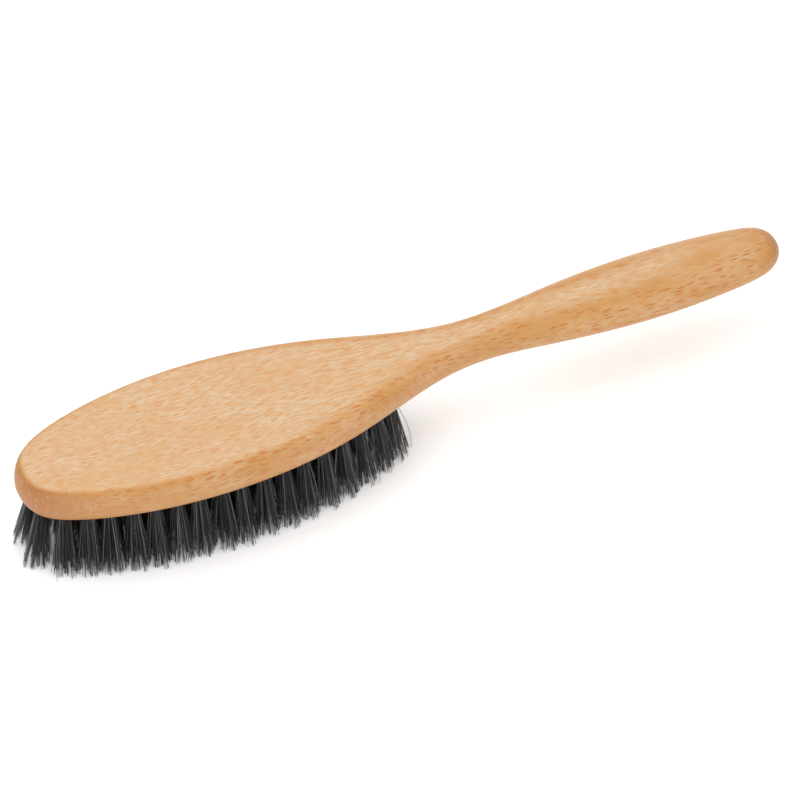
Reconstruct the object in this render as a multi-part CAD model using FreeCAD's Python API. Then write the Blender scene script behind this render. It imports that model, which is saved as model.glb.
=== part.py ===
"""Clothes brush: a one-piece beech body bored for bristle tufts, each tuft held by a wire staple.

Millimetres, +Z up. The brush stands on its bristle tips at z = 0. X runs along the brush from the
toe of the head (-X) to the end of the handle (+X), with x = 0 half way, and y = 0 is its mirror plane.
"""

import FreeCAD, Part
import bisect
import math
import os

Vector = FreeCAD.Vector

# Overall size
LENGTH = 265.0
UNDERSIDE = 24.5            # height of the head's planed underside: the bristles that show
HEAD_THICKNESS = 14.0
TOE_TOP_ROUNDING = 14.0     # length over which the toe's top rounds off
TOE_BOTTOM_ROUNDING = 10.0
HANDLE_END_ROUNDING = 8.0

# Cross-sections of the body: height of the widest line, reach above it, reach below it, height of the
# planed top, height over which the top's crease is sanded soft, and the exponent of the superellipse
# that rounds the sides. Heights are above the head's underside.
HEAD = (7.5, 12.0, 11.0, HEAD_THICKNESS, 2.0, 3.2)
SHOULDER = (7.5, 10.0, 11.0, 14.5, 5.0, 3.0)
NECK = (10.0, 7.0, 7.0, 16.5, 5.0, 2.5)
HANDLE = (10.0, 7.0, 7.0, 19.0, 2.0, 2.2)

# Control rows of a clamped cubic B-spline along the body, from the toe to the handle's end:
# x from the toe, half width, cross-section
BODY_ROWS = (
    (0.0, 0.0, *HEAD),
    (0.0, 10.0, *HEAD),
    (28.0, 22.5, *HEAD),
    (72.0, 25.5, *HEAD),
    (112.0, 19.5, *SHOULDER),
    (150.0, 3.5, *NECK),
    (182.0, 10.5, *HANDLE),
    (216.0, 13.5, *HANDLE),
    (246.0, 11.5, *HANDLE),
    (LENGTH, 8.0, *HANDLE),
    (LENGTH, 0.0, *HANDLE),
)
SECTIONS = 72               # sections of the control net along the body
SECTION_POINTS = 64         # points of each section
STRIPS = 4                  # faces round the body

# Bored holes and what fills them. Depths are below the mouth of the hole.
HOLE_RADIUS = 2.0
HOLE_DEPTH = 8.0
HOLE_SLACK = 0.03           # radial room between a tuft's root and its hole
TUFT_NECK = 1.0             # how far a tuft leaves its hole before it flares
TRIM_ALLOWANCE = 5.0        # length left on the tufts until they are trimmed level at z = 0
WIRE_RADIUS = 0.25
WIRE_SLACK = 0.02           # radial room round the staple in the tuft and in the wood
CROWN_DEPTH = 7.2
CROWN_WIDTH = 3.0           # between the centre lines of the two legs
CROWN_BEND = 0.6            # bend radius of the wire at its centre line
LEG_LENGTH = 4.0

# Rings of tufts, from the edge inwards: name, distance of the hole centres from the edge of the
# underside, number of mirrored pairs, how far the tips splay outwards, tip radius of one tuft.
RINGS = (
    ("outer", 3.7, 18, 3.5, 3.4),
    ("second", 10.0, 14, 2.2, 3.3),
    ("third", 16.2, 8, 1.0, 3.0),
)
PAIR_HALF_GAP = 3.7         # least distance of a mirrored pair's holes from the mirror plane

# Single tufts on the mirror plane, wherever the rings leave room for one
CENTRE_START = -109.0
CENTRE_PITCH = 7.0
CENTRE_COUNT = 12
CENTRE_CLEARANCE = 5.9      # least distance from the centre of any other hole
CENTRE_TIP_RADIUS = 3.0

EDGE_STEPS = 600            # steps along the body when the underside's edge is worked out


def spline_row(rows, t):
    """The clamped cubic B-spline of these control rows at t, from 0 to 1."""
    spans = len(rows) - 3
    knots = [0.0] * 3 + [i / spans for i in range(spans + 1)] + [1.0] * 3
    span = min(int(t * spans), spans - 1)
    points = [rows[span + j] for j in range(4)]
    for level in (1, 2, 3):
        for j in range(3, level - 1, -1):
            low = knots[span + j]
            share = (t - low) / (knots[span + j + 4 - level] - low)
            points[j] = [(1 - share) * a + share * b for a, b in zip(points[j - 1], points[j])]
    return points[3]


def along_body(steps):
    """Parameters from 0 to 1, closer together near both ends of the body."""
    return [(1 - math.cos(math.pi * i / steps)) / 2 for i in range(steps + 1)]


def end_roll(x, toe_rounding):
    """Share of the full height at x from the toe: both ends round off as quarter ellipses."""
    share = 1.0
    for distance, rounding in ((x, toe_rounding), (LENGTH - x, HANDLE_END_ROUNDING)):
        if distance < rounding:
            share *= math.sqrt(max(0.0, 1.0 - ((rounding - distance) / rounding) ** 2))
    return share


def signed_power(value, exponent):
    """The power of a number's size, with the number's sign."""
    return math.copysign(abs(value) ** exponent, value)


def planed(height, flat, crease):
    """A height planed down to the flat, with the crease between the two sanded to a soft curve."""
    overlap = max(0.0, crease - abs(height - flat))
    return min(height, flat) - overlap ** 2 / (4 * crease)


def body_section(t):
    """Points round the body's cross-section at t, planed flat at the top."""
    x, half_width, widest, above, below, flat, crease, exponent = spline_row(BODY_ROWS, t)
    reach_up = above * end_roll(x, TOE_TOP_ROUNDING)
    reach_down = below * end_roll(x, TOE_BOTTOM_ROUNDING)
    points = []
    for i in range(SECTION_POINTS):
        angle = 2 * math.pi * i / SECTION_POINTS
        reach = reach_up if math.sin(angle) > 0 else reach_down
        y = half_width * signed_power(math.cos(angle), 2 / exponent)
        z = planed(widest + reach * signed_power(math.sin(angle), 2 / exponent), flat, crease)
        points.append(Vector(x - LENGTH / 2, y, UNDERSIDE + z))
    return points


def shaped_blank():
    """The shaped body before its underside is planed: one smooth B-spline surface, in four strips."""
    net = [body_section(t) for t in along_body(SECTIONS)]
    knots_along = list(range(len(net) - 2))
    knots_round = list(range(SECTION_POINTS + 1))
    repeats_along = [4] + [1] * (len(knots_along) - 2) + [4]
    repeats_round = [1] * len(knots_round)
    surface = Part.BSplineSurface()
    surface.buildFromPolesMultsKnots(
        net, repeats_along, repeats_round, knots_along, knots_round, False, True, 3, 3
    )
    strips = []
    for i in range(STRIPS):
        strip = surface.copy()
        first, last = (SECTION_POINTS * k / STRIPS for k in (i, i + 1))
        strip.segment(knots_along[0], knots_along[-1], first, last)
        strips.append(strip.toShape())
    shell = Part.Shell(strips)
    shell.sewShape()
    return Part.Solid(shell)


def slab(bottom, top):
    """Everything between two heights, wider and longer than the brush."""
    side = 2 * LENGTH
    return Part.makeBox(side, side, top - bottom, Vector(-LENGTH, -LENGTH, bottom))


def underside_edge():
    """Points on the edge of the planed underside, on its y > 0 side, from the toe to the neck."""
    edge = []
    for t in along_body(EDGE_STEPS):
        x, half_width, widest, _, below, _, _, exponent = spline_row(BODY_ROWS, t)
        reach = below * end_roll(x, TOE_BOTTOM_ROUNDING)
        if reach > widest:
            y = half_width * (1 - (widest / reach) ** exponent) ** (1 / exponent)
            edge.append(Vector(x - LENGTH / 2, y, UNDERSIDE))
    toe = Vector(edge[0].x, 0, UNDERSIDE)
    return [toe] + edge


def inset_line(distance):
    """The line at this distance inside the underside's edge, as (point, outward direction) pairs."""
    edge = underside_edge()
    line = []
    for before, after in zip(edge, edge[1:]):
        along = (after - before).normalize()
        outward = Vector(-along.y, along.x, 0)
        point = (before + after) * 0.5 - outward * distance
        if point.y > PAIR_HALF_GAP:
            line.append((point, outward))
    return line


def spaced(line, count):
    """This many places on a line of (point, direction) pairs, evenly spaced from end to end."""
    run = [0.0]
    for (before, _), (after, _) in zip(line, line[1:]):
        run.append(run[-1] + before.distanceToPoint(after))
    places = []
    for i in range(count):
        target = run[-1] * i / (count - 1)
        places.append(line[min(bisect.bisect_left(run, target), len(line) - 1)])
    return places


def centre_points(ring_points):
    """Places on the mirror plane that are clear of every tuft of the rings."""
    points = []
    for i in range(CENTRE_COUNT):
        point = Vector(CENTRE_START + CENTRE_PITCH * i, 0, UNDERSIDE)
        if min(point.distanceToPoint(other) for other in ring_points) >= CENTRE_CLEARANCE:
            points.append(point)
    return points


def bore_placement(point, outward, splay):
    """Puts the mouth of a bore at a point of the underside. In the bore's own frame +Z goes into
    the wood, and the tuft leans outwards by the splay on its way down to z = 0."""
    leaning = outward * splay - Vector(0, 0, UNDERSIDE)
    return FreeCAD.Placement(point, FreeCAD.Rotation(Vector(0, 0, -1), leaning))


def mirrored(point, outward):
    """The same place on the other side of the mirror plane."""
    return Vector(point.x, -point.y, point.z), Vector(outward.x, -outward.y, 0)


def bore():
    """The hole that the drill leaves, run out past the mouth so that it opens when tilted."""
    overrun = HOLE_RADIUS
    return Part.makeCylinder(HOLE_RADIUS, HOLE_DEPTH + overrun, Vector(0, 0, -overrun))


def staple(wire_radius):
    """A U of round wire: its crown lies across the tuft's fold and its legs go on into the wood."""
    half = CROWN_WIDTH / 2
    leg_end = CROWN_DEPTH + LEG_LENGTH
    bend_end = CROWN_DEPTH + CROWN_BEND
    slant = CROWN_BEND * (1 - math.sqrt(0.5))
    left = [
        Vector(-half, 0, leg_end),
        Vector(-half, 0, bend_end),
        Vector(-half + slant, 0, CROWN_DEPTH + slant),
        Vector(-half + CROWN_BEND, 0, CROWN_DEPTH),
    ]
    right = [Vector(-p.x, 0, p.z) for p in reversed(left)]
    path = Part.Wire([
        Part.LineSegment(left[0], left[1]).toShape(),
        Part.Arc(left[1], left[2], left[3]).toShape(),
        Part.LineSegment(left[3], right[0]).toShape(),
        Part.Arc(right[0], right[1], right[2]).toShape(),
        Part.LineSegment(right[2], right[3]).toShape(),
    ])
    wire_end = Part.Wire([Part.Circle(left[0], Vector(0, 0, 1), wire_radius).toShape()])
    return path.makePipeShell([wire_end], True, True)


def tuft(tip_radius):
    """A bundle of bristles folded over its staple, still untrimmed: a straight root that flares
    towards the tips."""
    root_radius = HOLE_RADIUS - HOLE_SLACK
    foot = UNDERSIDE + TRIM_ALLOWANCE
    flare = (tip_radius - root_radius) / (UNDERSIDE - TUFT_NECK)
    foot_radius = root_radius + flare * (foot - TUFT_NECK)
    outline = Part.makePolygon([
        Vector(0, 0, HOLE_DEPTH),
        Vector(root_radius, 0, HOLE_DEPTH),
        Vector(root_radius, 0, -TUFT_NECK),
        Vector(foot_radius, 0, -foot),
        Vector(0, 0, -foot),
        Vector(0, 0, HOLE_DEPTH),
    ])
    bundle = Part.Face(outline).revolve(Vector(0, 0, 0), Vector(0, 0, 1), 360)
    return bundle.cut(staple(WIRE_RADIUS + WIRE_SLACK))


def tuft_groups():
    """Every tuft as (group name, number in the group, tip radius, placements)."""
    groups = []
    ring_points = []
    for name, inset, pairs, splay, tip_radius in RINGS:
        for number, (point, outward) in enumerate(spaced(inset_line(inset), pairs), 1):
            sides = [(point, outward), mirrored(point, outward)]
            ring_points += [side_point for side_point, _ in sides]
            placements = [bore_placement(*side, splay) for side in sides]
            groups.append((name, number, tip_radius, placements))
    for number, point in enumerate(centre_points(ring_points), 1):
        groups.append(("centre", number, CENTRE_TIP_RADIUS, [bore_placement(point, Vector(), 0)]))
    return groups


def placed(shape, placements):
    """Copies of a shape, one at each placement."""
    return [shape.transformed(placement.toMatrix()) for placement in placements]


def wooden_body(placements):
    """The whole wooden body: shaped, planed flat below, bored, and pierced by the staples."""
    blank = shaped_blank().common(slab(UNDERSIDE, UNDERSIDE + LENGTH)).Solids[0]
    pierced_bore = bore().fuse(staple(WIRE_RADIUS + WIRE_SLACK))
    return blank.cut(Part.makeCompound(placed(pierced_bore, placements)))


def export(name, solids):
    """Writes one node's solids to its STEP file."""
    shape = solids[0] if len(solids) == 1 else Part.makeCompound(solids)
    shape.exportStep(os.path.join("parts", name + ".step"))


def tuft_node_name(ring, number):
    """Ring tufts come in mirrored pairs; the centre row's are single."""
    kind = "tuft" if ring == "centre" else "tuft_pair"
    return f"{ring}_{kind}_{number:02d}"


def build():
    os.makedirs("parts", exist_ok=True)
    groups = tuft_groups()
    everywhere = [placement for *_, placements in groups for placement in placements]
    export("wooden_body", wooden_body(everywhere).Solids)

    trimmed_zone = slab(0, UNDERSIDE + LENGTH)
    untrimmed = {radius: tuft(radius) for _, _, radius, _ in groups}
    for ring, number, tip_radius, placements in groups:
        tufts = [copy.common(trimmed_zone) for copy in placed(untrimmed[tip_radius], placements)]
        export(tuft_node_name(ring, number), [solid for tuft in tufts for solid in tuft.Solids])

    one_staple = staple(WIRE_RADIUS)
    for ring in dict.fromkeys(group[0] for group in groups):
        places = [p for name, _, _, placements in groups if name == ring for p in placements]
        export(f"{ring}_staples", placed(one_staple, places))


build()
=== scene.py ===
"""Looks of the clothes brush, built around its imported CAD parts.

Metres, +Z up, in the frame of the CAD: the brush stands on its bristle tips at z = 0, with its toe
towards -X and its handle towards +X. The wooden body and the staples are the CAD's own meshes with
procedural materials. Each tuft of the CAD is replaced by a tuft of separate bristles.
"""

import math

import bpy
import numpy as np
from mathutils import Matrix, Vector


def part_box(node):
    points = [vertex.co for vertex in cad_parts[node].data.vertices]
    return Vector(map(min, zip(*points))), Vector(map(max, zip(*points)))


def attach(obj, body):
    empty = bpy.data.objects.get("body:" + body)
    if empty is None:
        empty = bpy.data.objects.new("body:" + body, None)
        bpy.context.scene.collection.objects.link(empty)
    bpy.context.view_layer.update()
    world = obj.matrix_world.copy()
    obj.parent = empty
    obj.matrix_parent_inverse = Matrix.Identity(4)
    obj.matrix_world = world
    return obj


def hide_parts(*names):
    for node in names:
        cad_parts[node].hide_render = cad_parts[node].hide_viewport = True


MM = 0.001

# Camera, looking at the brush from in front, above and the toe's side
AIM = Vector((-3.5, -6.3, 23.9)) * MM
AZIMUTH = math.radians(-22.2)
ELEVATION = math.radians(49.4)
ROLL = math.radians(-0.25)
CAMERA_DISTANCE = 2.0
LENS = 279.0
SENSOR = 36.0

# Bristles
STRANDS_PER_TUFT = 150
STRAND_SIDES = 3
STRAND_RINGS = 6
STRAND_RADIUS = 0.145 * MM
TIP_TAPER = 0.55            # radius of a bristle at its tip, as a share of that at its root
ROOT_DEPTH = 3.0 * MM       # how far the modelled bristles go up into their hole
HOLE_RADIUS = 2.0 * MM
ROOT_SPREAD = 0.90          # share of the hole that the bristles fill
OUTER_SPREAD = 1.45         # how far the loose tips reach, as a share of the CAD tuft's tip radius
INNER_SPREAD = 1.90         # the same in the inner rings, whose bristles fill the room between them
LOCKS_PER_TUFT = 15         # bristles lean together in small locks
LOCK_PULL = 0.55            # how far a bristle's tip moves towards its lock, as a share
BOW = 0.25 * MM             # sideways bow of a bristle
BOW_REACH = 0.8             # share of half a sine wave that the bow follows
STRAY_SHARE = 0.03
STRAY_BOW = 1.3 * MM

# Random variation between bristles
ROOT_SCATTER = 0.06         # of their places at the root, in radii of the tuft
SPREAD_SCATTER = 0.12       # of how far each one spreads
LOCK_SCATTER = 0.10         # of the locks' places, in tip radii of the tuft
TIP_SCATTER = 0.22 * MM     # of the tips' places
LENGTH_SCATTER = 0.022      # share of their length by which they fall short of the floor

# Shades of the bristles
DARKEST = 0.003
GREY_RANGE = 0.220          # how much paler than the darkest the palest are
GREY_RARITY = 6             # the higher it is, the fewer pale ones there are
BLUENESS = 1.04             # blue beside red and green
TAN_SHARE = 0.012
TAN = (0.20, 0.14, 0.09, 1)
INNER_PAINTED_SHADE = 0.30       # painted shade of the inner rings' bristles beside the outer ring's, standing in for the shade deep among the tufts
GOLDEN_ANGLE = math.pi * (3 - math.sqrt(5))

# Slices of a CAD tuft's mesh that give the middle of its tips and of its root end
TIP_SLICE = 0.1 * MM
ROOT_SLICE = 0.7 * MM

# Colours of the beech
PALE_FIBRE = (0.610, 0.452, 0.296, 1)
WARM_FIBRE = (0.597, 0.398, 0.222, 1)
STREAK = (0.582, 0.286, 0.098, 1)
BAND = (0.586, 0.336, 0.158, 1)
PATCH = (0.586, 0.327, 0.133, 1)
AMBER = (0.515, 0.245, 0.060, 1)
END_GRAIN = (0.370, 0.135, 0.026, 1)
FINE_RAY = (0.545, 0.245, 0.070, 1)
BOLD_RAY = (0.480, 0.166, 0.030, 1)

# Studio
FLOOR_HALF = 4.0
FLOOR_WHITE = 0.98
FLOOR_GLOW = 0.10           # faint glow of a backlit white table
WORLD_STRENGTH = 1.0
LAMP_PLACE = Vector((-0.35, 0.0, 1.25))
LAMP_SIZE = 1.1
LAMP_POWER = 5.5


# ---------------------------------------------------------------- node helpers


def new_material(name):
    """An empty node material with a Principled shader on its output: (material, nodes, links, shader)."""
    material = bpy.data.materials.new(name)
    material.use_nodes = True
    nodes = material.node_tree.nodes
    nodes.clear()
    output = nodes.new("ShaderNodeOutputMaterial")
    shader = nodes.new("ShaderNodeBsdfPrincipled")
    material.node_tree.links.new(shader.outputs["BSDF"], output.inputs["Surface"])
    return material, nodes, material.node_tree.links, shader


class Graph:
    """Short forms for wiring one material's nodes."""

    def __init__(self, nodes, links):
        self.nodes = nodes
        self.links = links

    def feed(self, socket, value):
        """Links a socket to an output, or sets it to a plain value."""
        if isinstance(value, bpy.types.NodeSocket):
            self.links.new(value, socket)
        else:
            socket.default_value = value

    def math(self, operation, a, b=0.0):
        node = self.nodes.new("ShaderNodeMath")
        node.operation = operation
        self.feed(node.inputs[0], a)
        self.feed(node.inputs[1], b)
        return node.outputs[0]

    def scaled(self, vector, factor):
        node = self.nodes.new("ShaderNodeVectorMath")
        node.operation = "SCALE"
        self.feed(node.inputs[0], vector)
        node.inputs["Scale"].default_value = factor
        return node.outputs["Vector"]

    def parts(self, vector):
        node = self.nodes.new("ShaderNodeSeparateXYZ")
        self.feed(node.inputs[0], vector)
        return node.outputs

    def joined(self, x, y, z):
        node = self.nodes.new("ShaderNodeCombineXYZ")
        for socket, value in zip(node.inputs, (x, y, z)):
            self.feed(socket, value)
        return node.outputs[0]

    def noise(self, vector, scale=1.0, detail=2.0, roughness=0.5):
        node = self.nodes.new("ShaderNodeTexNoise")
        self.feed(node.inputs["Vector"], vector)
        node.inputs["Scale"].default_value = scale
        node.inputs["Detail"].default_value = detail
        node.inputs["Roughness"].default_value = roughness
        return node.outputs["Fac"]

    def cells(self, vector):
        """Voronoi cells one unit across: (distance from the cell's middle, the cell's random colour)."""
        node = self.nodes.new("ShaderNodeTexVoronoi")
        self.feed(node.inputs["Vector"], vector)
        node.inputs["Scale"].default_value = 1.0
        return node.outputs["Distance"], node.outputs["Color"]

    def ramp(self, value, low, high, to_low=0.0, to_high=1.0):
        """A value moved smoothly from one range to another and held at its ends."""
        node = self.nodes.new("ShaderNodeMapRange")
        node.interpolation_type = "SMOOTHSTEP"
        self.feed(node.inputs["Value"], value)
        node.inputs["From Min"].default_value = low
        node.inputs["From Max"].default_value = high
        node.inputs["To Min"].default_value = to_low
        node.inputs["To Max"].default_value = to_high
        return node.outputs["Result"]

    def blend(self, share, a, b):
        """Colour a turning into colour b by this share."""
        node = self.nodes.new("ShaderNodeMix")
        node.data_type = "RGBA"
        self.feed(node.inputs["Factor"], share)
        colours = [s for s in node.inputs if s.type == "RGBA"]
        self.feed(colours[0], a)
        self.feed(colours[1], b)
        return [s for s in node.outputs if s.type == "RGBA"][0]


# ---------------------------------------------------------------- materials


def beech():
    """Oiled beech: crisp short streaks along the board on its top, bolder and darker ray dashes on its
    sides, amber in patches over the sides and towards the handle's end, and deeper orange on the end
    grain at the toe and the handle's end. The amber over the sides is partly the rounding's own deeper
    tone and partly painted shade."""
    material, nodes, links, shader = new_material("beech_wood")
    g = Graph(nodes, links)
    position = nodes.new("ShaderNodeTexCoord").outputs["Object"]
    x, y, z = g.parts(g.scaled(position, 1 / MM))

    def grained(length, width, depth):
        """The place in the board, in units this many millimetres long, wide and deep."""
        return g.joined(
            g.math("DIVIDE", x, length), g.math("DIVIDE", y, width), g.math("DIVIDE", z, depth)
        )

    # The grain wanders a little from side to side along the board.
    slow = g.math("SUBTRACT", g.noise(grained(38.0, 26.0, 60.0), detail=1.0), 0.5)
    quick = g.math("SUBTRACT", g.noise(grained(14.0, 3.0, 6.0), detail=0.0), 0.5)
    y = g.math("ADD", y, g.math("ADD", g.math("MULTIPLY", slow, 6.0), g.math("MULTIPLY", quick, 0.25)))

    normal = nodes.new("ShaderNodeNewGeometry").outputs["Normal"]
    nx, _, nz = g.parts(normal)
    tilt = g.math("ARCCOSINE", g.math("ABSOLUTE", nz))
    side = g.ramp(tilt, 0.02, 0.36)
    end = g.ramp(g.math("ABSOLUTE", nx), 0.15, 0.70)

    # The colour turns more amber towards the end of the handle, first on its y < 0 side.
    warm = g.ramp(g.math("SUBTRACT", x, g.math("MULTIPLY", y, 6.0)), 60.0, 125.0)

    # Rays: dense faint spindles, and fewer bold dashes that show mostly on the sides.
    fine, fine_tint = g.cells(grained(4.6, 1.05, 2.6))
    fine_rays = g.math("MULTIPLY", g.ramp(fine, 0.42, 0.24), g.ramp(g.parts(fine_tint)[0], 0.10, 0.80))
    bold, bold_tint = g.cells(grained(5.0, 0.85, 0.80))
    chosen = g.ramp(g.parts(bold_tint)[0], 0.05, 0.60)
    bold_rays = g.math("MULTIPLY", g.ramp(bold, 0.44, 0.28), chosen)

    streaks = g.noise(grained(3.6, 0.40, 1.6), detail=0.0)
    fibres = g.noise(grained(7.0, 0.42, 1.2), detail=3.0, roughness=0.6)
    bands = g.noise(grained(70.0, 2.6, 3.0), detail=2.0)
    patches = g.noise(grained(22.0, 8.0, 6.0), detail=2.0)

    colour = g.blend(g.ramp(fibres, 0.36, 0.64), PALE_FIBRE, WARM_FIBRE)
    colour = g.blend(g.ramp(streaks, 0.50, 0.58, 0.0, 0.85), colour, STREAK)
    colour = g.blend(g.ramp(bands, 0.42, 0.66, 0.0, 0.40), colour, BAND)
    colour = g.blend(g.ramp(patches, 0.46, 0.68, 0.0, 0.45), colour, PATCH)
    # Amber in patches over the sides and towards the handle's end; over the sides it is partly the
    # rounding's own deeper tone and partly painted shade.
    amber = g.math("MULTIPLY", g.math("MAXIMUM", side, warm), g.ramp(patches, 0.34, 0.62, 0.55, 0.95))
    colour = g.blend(amber, colour, AMBER)
    colour = g.blend(g.math("MULTIPLY", end, 0.90), colour, END_GRAIN)
    share = g.math("MULTIPLY", fine_rays, g.math("ADD", 0.55, g.math("MULTIPLY", side, 0.05)))
    colour = g.blend(share, colour, FINE_RAY)
    share = g.math("MULTIPLY", bold_rays, g.math("ADD", 0.12, g.math("MULTIPLY", side, 0.88)))
    colour = g.blend(share, colour, BOLD_RAY)
    links.new(colour, shader.inputs["Base Color"])

    links.new(g.ramp(fibres, 0.3, 0.8, 0.38, 0.50), shader.inputs["Roughness"])
    shader.inputs["Coat Weight"].default_value = 0.12
    shader.inputs["Coat Roughness"].default_value = 0.35

    relief = g.math("SUBTRACT", fibres, g.math("MULTIPLY", fine_rays, 0.5))
    bump = nodes.new("ShaderNodeBump")
    bump.inputs["Strength"].default_value = 0.30
    bump.inputs["Distance"].default_value = 0.05 * MM
    links.new(relief, bump.inputs["Height"])
    links.new(bump.outputs["Normal"], shader.inputs["Normal"])
    return material


def bristle():
    """Dark bristle: each hair has its own shade, which in the inner rings is darkened by painted shade.
    """
    material, nodes, links, shader = new_material("dark_bristle")
    shade = nodes.new("ShaderNodeAttribute")
    shade.attribute_name = "shade"
    links.new(shade.outputs["Color"], shader.inputs["Base Color"])
    shader.inputs["Roughness"].default_value = 0.42
    shader.inputs["Specular IOR Level"].default_value = 0.5
    return material


def steel_wire():
    """Drawn steel wire: faint dull streaks in a bright surface."""
    material, nodes, links, shader = new_material("staple_steel")
    g = Graph(nodes, links)
    position = nodes.new("ShaderNodeTexCoord").outputs["Object"]
    streaks = g.noise(position, scale=4000.0, detail=3.0)
    colour = g.blend(streaks, (0.45, 0.45, 0.47, 1), (0.70, 0.70, 0.71, 1))
    links.new(colour, shader.inputs["Base Color"])
    links.new(g.ramp(streaks, 0.3, 0.7, 0.28, 0.45), shader.inputs["Roughness"])
    shader.inputs["Metallic"].default_value = 1.0
    return material


# ---------------------------------------------------------------- bristle tufts


def disc_centre(points):
    """Middle of the box round a flat, round set of points."""
    return (points.min(axis=0) + points.max(axis=0)) / 2


def tuft_axes(node):
    """For each tuft in a CAD node: (middle of its root end, middle of its tips, tip radius)."""
    mesh = node.data
    points = np.empty(len(mesh.vertices) * 3)
    mesh.vertices.foreach_get("co", points)
    points = points.reshape(-1, 3)
    sides = [points]
    if "_pair_" in node.name:
        sides = [points[points[:, 1] > 0], points[points[:, 1] < 0]]
    axes = []
    for side in sides:
        tips = side[side[:, 2] < TIP_SLICE]
        top = side[side[:, 2] > side[:, 2].max() - ROOT_SLICE]
        axes.append((disc_centre(top), disc_centre(tips), np.ptp(tips[:, 0]) / 2))
    return axes


def disc_points(count):
    """Points spread evenly over a disc of radius 1, as an array of points by xyz."""
    steps = np.arange(count) + 0.5
    turn = GOLDEN_ANGLE * steps
    spiral = np.stack([np.cos(turn), np.sin(turn), np.zeros(count)], axis=1)
    return spiral * np.sqrt(steps / count)[:, None]


def flat_scatter(random, size, count):
    """Random level offsets of about this size, as an array of points by xyz."""
    offsets = random.normal(0, size, (count, 3))
    offsets[:, 2] = 0
    return offsets


def strand_lines(random, root, tip, tip_radius, tip_spread, underside):
    """Centre lines of one tuft's bristles, as an array of strands by rings by xyz."""
    count = STRANDS_PER_TUFT
    along = tip - root
    mouth = root + along * (root[2] - underside) / (root[2] - tip[2])
    start = mouth - along / np.linalg.norm(along) * ROOT_DEPTH

    at_root = disc_points(count) + flat_scatter(random, ROOT_SCATTER, count)
    at_tip = at_root * random.normal(tip_spread, SPREAD_SCATTER, count)[:, None]
    lock_scatter = flat_scatter(random, LOCK_SCATTER, LOCKS_PER_TUFT)
    locks = disc_points(LOCKS_PER_TUFT) * tip_spread + lock_scatter
    gaps = np.linalg.norm(at_tip[:, None] - locks[None], axis=2)
    at_tip += LOCK_PULL * (locks[gaps.argmin(axis=1)] - at_tip)
    root_offset = at_root * HOLE_RADIUS * ROOT_SPREAD
    tip_offset = at_tip * tip_radius + flat_scatter(random, TIP_SCATTER, count)

    bow = flat_scatter(random, BOW, count)
    stray = random.random(count) < STRAY_SHARE
    bow += stray[:, None] * flat_scatter(random, STRAY_BOW, count)
    full = 1 - np.abs(random.normal(0, LENGTH_SCATTER, count))
    lines = np.empty((count, STRAND_RINGS, 3))
    lines[:, 0] = start + root_offset
    for i in range(1, STRAND_RINGS):
        share = (i - 1) / (STRAND_RINGS - 2)
        t = (share * full)[:, None]
        centre = mouth + (tip - mouth) * t
        offset = root_offset * (1 - t) + tip_offset * t
        lines[:, i] = centre + offset + bow * math.sin(math.pi * share * BOW_REACH)
    return lines


def strand_shades(random, count, painted_shade):
    """A colour for each bristle of a tuft: near black with some greyer, and a rare tan one. The grey
    levels are scaled by the tuft's painted shade, which darkens the inner rings' bristles.
    """
    level = painted_shade * (DARKEST + GREY_RANGE * random.random(count) ** GREY_RARITY)
    shades = np.stack([level, level, level * BLUENESS, np.ones(count)], axis=1)
    shades[random.random(count) < TAN_SHARE] = TAN
    return shades


def bristle_mesh(name, lines, shades, radius):
    """One closed, tapered tube round each line, with the line's shade as a colour attribute."""
    count, rings, _ = lines.shape
    angle = 2 * np.pi * np.arange(STRAND_SIDES) / STRAND_SIDES
    ring = np.stack([np.cos(angle), np.sin(angle), np.zeros(STRAND_SIDES)], axis=1)
    taper = np.linspace(1.0, TIP_TAPER, rings)
    points = lines[:, :, None, :] + ring[None, None] * (radius * taper)[None, :, None, None]
    per_strand = rings * STRAND_SIDES
    faces = []
    for i in range(rings - 1):
        for j in range(STRAND_SIDES):
            k = (j + 1) % STRAND_SIDES
            a, b = i * STRAND_SIDES, (i + 1) * STRAND_SIDES
            faces.append((a + k, a + j, b + j, b + k))
    first = per_strand * np.arange(count)
    quads = (np.array(faces)[None] + first[:, None, None]).reshape(-1, 4)
    caps = np.array([
        [0, 1, 2],
        [per_strand - 1, per_strand - 2, per_strand - 3],
    ])
    triangles = (caps[None] + first[:, None, None]).reshape(-1, 3)
    mesh = bpy.data.meshes.new(name)
    mesh.from_pydata(points.reshape(-1, 3).tolist(), [], quads.tolist() + triangles.tolist())
    colour = mesh.attributes.new("shade", "FLOAT_COLOR", "POINT")
    colour.data.foreach_set("color", np.repeat(shades, per_strand, axis=0).ravel())
    mesh.shade_smooth()
    return mesh


def make_tufts(material):
    """Replaces every tuft node of the CAD by a tuft of separate bristles."""
    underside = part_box("wooden_body")[0].z
    tufts = sorted(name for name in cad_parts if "_tuft" in name)
    for seed, name in enumerate(tufts):
        random = np.random.default_rng(seed)
        outer = name.startswith("outer")
        # Painted shade: the inner rings' bristles are drawn darker, standing in for the shade deep among
        # the tufts.
        painted_shade = 1.0 if outer else INNER_PAINTED_SHADE
        tip_spread = OUTER_SPREAD if outer else INNER_SPREAD
        lines, shades = [], []
        for root, tip, tip_radius in tuft_axes(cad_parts[name]):
            lines.append(strand_lines(random, root, tip, tip_radius, tip_spread, underside))
            shades.append(strand_shades(random, STRANDS_PER_TUFT, painted_shade))
        lines, shades = np.concatenate(lines), np.concatenate(shades)
        mesh = bristle_mesh(name + "_bristles", lines, shades, STRAND_RADIUS)
        mesh.materials.append(material)
        piece = bpy.data.objects.new(name + "_bristles", mesh)
        bpy.context.scene.collection.objects.link(piece)
        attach(piece, "root")
        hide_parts(name)


# ---------------------------------------------------------------- studio


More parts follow.
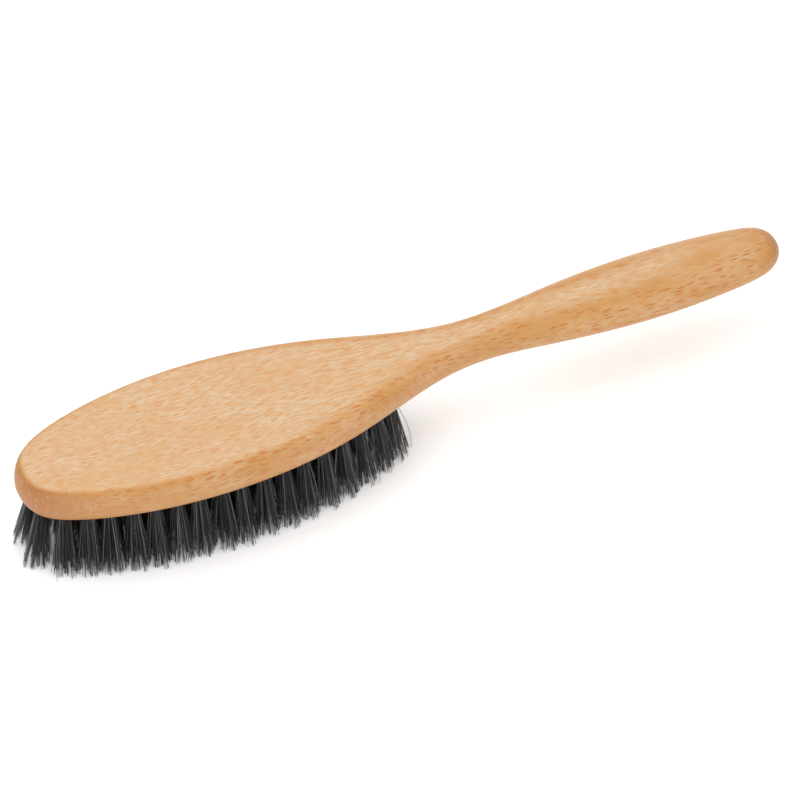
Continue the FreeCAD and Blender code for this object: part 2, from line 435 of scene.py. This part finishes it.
def make_floor():
    """A plain pale floor under the bristle tips."""
    mesh = bpy.data.meshes.new("floor")
    corners = [(x * FLOOR_HALF, y * FLOOR_HALF, 0) for x, y in ((-1, -1), (1, -1), (1, 1), (-1, 1))]
    mesh.from_pydata(corners, [], [(0, 1, 2, 3)])
    material, _, _, shader = new_material("pale_floor")
    shader.inputs["Base Color"].default_value = (FLOOR_WHITE, FLOOR_WHITE, FLOOR_WHITE, 1)
    shader.inputs["Emission Color"].default_value = (1, 1, 1, 1)
    shader.inputs["Emission Strength"].default_value = FLOOR_GLOW
    shader.inputs["Roughness"].default_value = 0.9
    shader.inputs["Specular IOR Level"].default_value = 0.0
    mesh.materials.append(material)
    floor = bpy.data.objects.new("floor", mesh)
    bpy.context.scene.collection.objects.link(floor)


def make_lights():
    """A white surround and one large soft lamp overhead."""
    world = bpy.data.worlds.new("studio")
    world.use_nodes = True
    background = world.node_tree.nodes["Background"]
    background.inputs["Color"].default_value = (1, 1, 1, 1)
    background.inputs["Strength"].default_value = WORLD_STRENGTH
    bpy.context.scene.world = world

    lamp = bpy.data.lights.new("softbox", "AREA")
    lamp.shape = "DISK"
    lamp.size = LAMP_SIZE
    lamp.energy = LAMP_POWER
    softbox = bpy.data.objects.new("softbox", lamp)
    softbox.location = LAMP_PLACE
    softbox.rotation_mode = "QUATERNION"
    softbox.rotation_quaternion = softbox.location.to_track_quat("Z", "Y")
    softbox.visible_camera = False
    bpy.context.scene.collection.objects.link(softbox)


def make_camera():
    """The camera, a long way off with a long lens."""
    back = Vector((
        math.sin(AZIMUTH) * math.cos(ELEVATION),
        -math.cos(AZIMUTH) * math.cos(ELEVATION),
        math.sin(ELEVATION),
    ))
    data = bpy.data.cameras.new("camera")
    data.sensor_width = SENSOR
    data.lens = LENS
    data.clip_start = 0.1
    data.clip_end = 20.0
    camera = bpy.data.objects.new("camera", data)
    camera.location = AIM + back * CAMERA_DISTANCE
    camera.rotation_mode = "QUATERNION"
    roll = Matrix.Rotation(ROLL, 3, "Z").to_quaternion()
    camera.rotation_quaternion = back.to_track_quat("Z", "Y") @ roll
    bpy.context.scene.collection.objects.link(camera)
    bpy.context.scene.camera = camera


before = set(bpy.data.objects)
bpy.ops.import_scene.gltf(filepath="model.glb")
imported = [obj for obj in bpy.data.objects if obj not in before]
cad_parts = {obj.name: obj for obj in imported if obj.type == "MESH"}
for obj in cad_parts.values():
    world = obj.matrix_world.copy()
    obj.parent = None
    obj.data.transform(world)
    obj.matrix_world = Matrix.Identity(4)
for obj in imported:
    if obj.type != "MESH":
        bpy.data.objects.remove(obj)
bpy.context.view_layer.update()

wood = beech()
steel = steel_wire()
for name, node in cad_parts.items():
    if "_tuft" not in name:
        node.data.materials.clear()
        node.data.materials.append(wood if name == "wooden_body" else steel)
make_tufts(bristle())
make_floor()
make_lights()
make_camera()
bpy.context.scene.view_settings.view_transform = "Standard"
